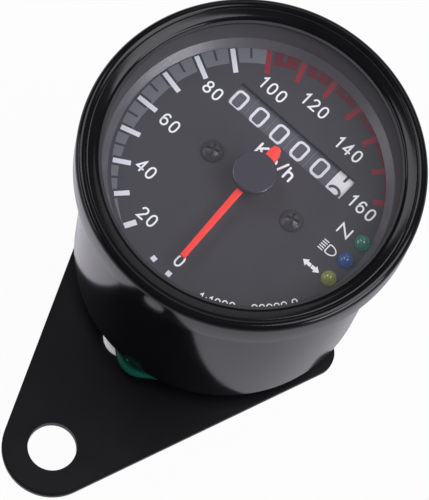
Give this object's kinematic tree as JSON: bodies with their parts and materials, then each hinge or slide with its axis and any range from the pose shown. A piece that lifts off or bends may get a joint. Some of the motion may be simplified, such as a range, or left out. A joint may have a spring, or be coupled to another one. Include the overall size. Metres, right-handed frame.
{
  "type": "motorcycle speedometer",
  "caption": "Round motorcycle speedometer with pointer, drum odometer, indicator lamps, mounting plate and coiled wire harness",
  "frame": {"origin": "centre of the mounting plate's bolt hole, on the plate's underside", "axes": "Z points out of the dial towards the rider, Y towards the dial's 12 o'clock, X towards its 3 o'clock"},
  "size_m": [0.06, 0.0861, 0.0719],
  "materials": {
    "bezel_black": "gloss black enamel",
    "can_black": "gloss black enamel",
    "plate_black": "satin black enamel",
    "clear_glass": "polished",
    "black_rubber": "matt",
    "grey_plastic": "satin",
    "dial_grey": "matt dark grey",
    "screw_black": "black oxide",
    "pointer_red": "matt red",
    "cap_black": "matt black",
    "steel": "bright",
    "zinc_plated": "zinc plated",
    "drag_aluminium": "plain",
    "magnet_grey": "sintered",
    "cast_zinc": "die-cast",
    "brass_plain": "plain",
    "drum_black": "moulded",
    "drum_white": "moulded",
    "nylon": "natural",
    "lamp_green": "translucent",
    "lamp_blue": "translucent",
    "lamp_yellow": "translucent",
    "wire_white": "soft",
    "wire_green": "soft",
    "wire_blue": "soft",
    "wire_black": "soft",
    "sleeve_black": "soft"
  },
  "bodies": {
    "gauge": {"bezel_ring": "bezel_black", "lens": "clear_glass", "lens_gasket": "black_rubber", "spacer_ring": "grey_plastic", "dial_plate": "dial_grey", "dial_screws": "screw_black", "can": "can_black", "hairspring": "brass_plain", "movement_base": "cast_zinc", "movement_bridge": "brass_plain", "cable_nipple": "zinc_plated", "odometer_cheeks": "brass_plain", "odometer_shaft": "steel", "carry_pinions": "nylon", "carry_plates": "steel", "lamp_green": "lamp_green", "lamp_blue": "lamp_blue", "lamp_yellow": "lamp_yellow", "lamp_carrier": "nylon", "bracket_plate": "plate_black", "stud_bolts": "zinc_plated", "rubber_buffers": "black_rubber", "stud_washers": "zinc_plated", "stud_nuts": "zinc_plated", "can_boot": "black_rubber", "plate_boot": "black_rubber", "wire_white": "wire_white", "wire_green": "wire_green", "wire_blue": "wire_blue", "wire_black": "wire_black", "harness_lead": "sleeve_black", "harness_coil": "sleeve_black", "harness_tie": "wire_black", "harness_plug": "nylon"},
    "pointer_set": {"pointer": "pointer_red", "pointer_cap": "cap_black", "pointer_spindle": "steel", "speed_cup": "drag_aluminium"},
    "drive": {"drive_spindle": "steel", "drive_magnet": "magnet_grey"},
    "drum_a": {"drum_1": "drum_black"},
    "drum_b": {"drum_2": "drum_black"},
    "drum_c": {"drum_3": "drum_black"},
    "drum_d": {"drum_4": "drum_black"},
    "drum_e": {"drum_5": "drum_black"},
    "drum_t": {"drum_tenths": "drum_white"}
  },
  "joints": [
    {"name": "pointer_swing", "type": "hinge", "parent": "gauge", "child": "pointer_set", "pos_m": [0, 0.0463, 0.04], "axis": [0, 0, -1], "range_deg": [0, 236], "stiffness_Nm_per_rad": 0.0001},
    {"name": "drive_turn", "type": "hinge", "parent": "gauge", "child": "drive", "pos_m": [0, 0.0463, 0], "axis": [0, 0, 1], "continuous": true},
    {"name": "tenths_turn", "type": "hinge", "parent": "gauge", "child": "drum_t", "pos_m": [-0.0007, 0.0573, 0.03899], "axis": [-1, 0, 0], "continuous": true},
    {"name": "units_turn", "type": "hinge", "parent": "gauge", "child": "drum_e", "pos_m": [-0.0007, 0.0573, 0.03899], "axis": [-1, 0, 0], "continuous": true},
    {"name": "tens_turn", "type": "hinge", "parent": "gauge", "child": "drum_d", "pos_m": [-0.0007, 0.0573, 0.03899], "axis": [-1, 0, 0], "continuous": true},
    {"name": "hundreds_turn", "type": "hinge", "parent": "gauge", "child": "drum_c", "pos_m": [-0.0007, 0.0573, 0.03899], "axis": [-1, 0, 0], "continuous": true},
    {"name": "thousands_turn", "type": "hinge", "parent": "gauge", "child": "drum_b", "pos_m": [-0.0007, 0.0573, 0.03899], "axis": [-1, 0, 0], "continuous": true},
    {"name": "ten_thousands_turn", "type": "hinge", "parent": "gauge", "child": "drum_a", "pos_m": [-0.0007, 0.0573, 0.03899], "axis": [-1, 0, 0], "continuous": true}
  ],
  "couplings": [
    {"joint": "units_turn", "follows": "tenths_turn", "ratio": 0.1},
    {"joint": "tens_turn", "follows": "tenths_turn", "ratio": 0.01},
    {"joint": "hundreds_turn", "follows": "tenths_turn", "ratio": 0.001}
  ]
}
